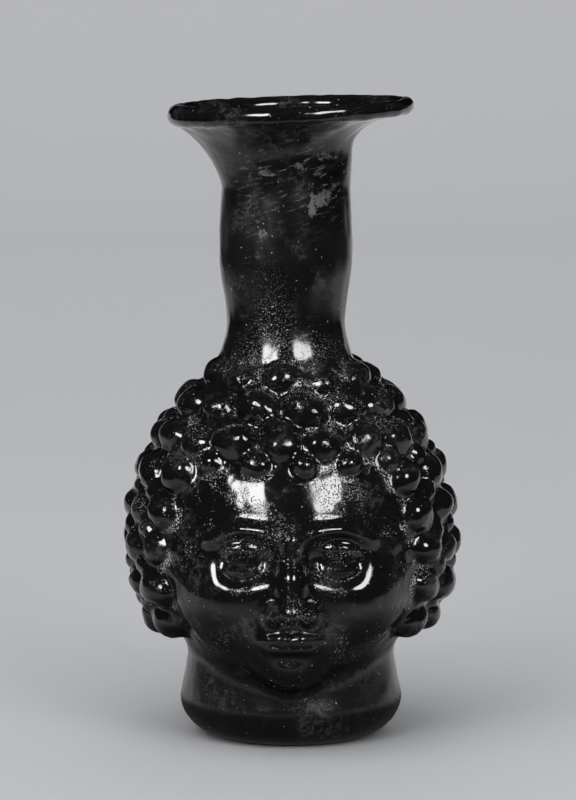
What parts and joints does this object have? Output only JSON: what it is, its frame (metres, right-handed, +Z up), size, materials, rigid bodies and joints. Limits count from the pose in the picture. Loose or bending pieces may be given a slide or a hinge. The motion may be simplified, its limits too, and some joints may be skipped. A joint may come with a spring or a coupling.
{
  "type": "head-shaped glass flask",
  "caption": "Mould-blown dark glass flask in the shape of a head with bead-like curls, with a tall neck and a wide flared rim.",
  "frame": {"origin": "middle of the flat underside, on the surface that the flask stands on", "axes": "+Z up along the flask's axis, -Y the way the face looks, +X to the viewer's right"},
  "size_m": [0.1029, 0.1047, 0.193],
  "materials": {
    "glass": "near-black glass, glossy and opaque by its thickness, finely pitted, with pale weathering in the hollows"
  },
  "bodies": {
    "root": {"head_flask": "glass"}
  },
  "joints": []
}
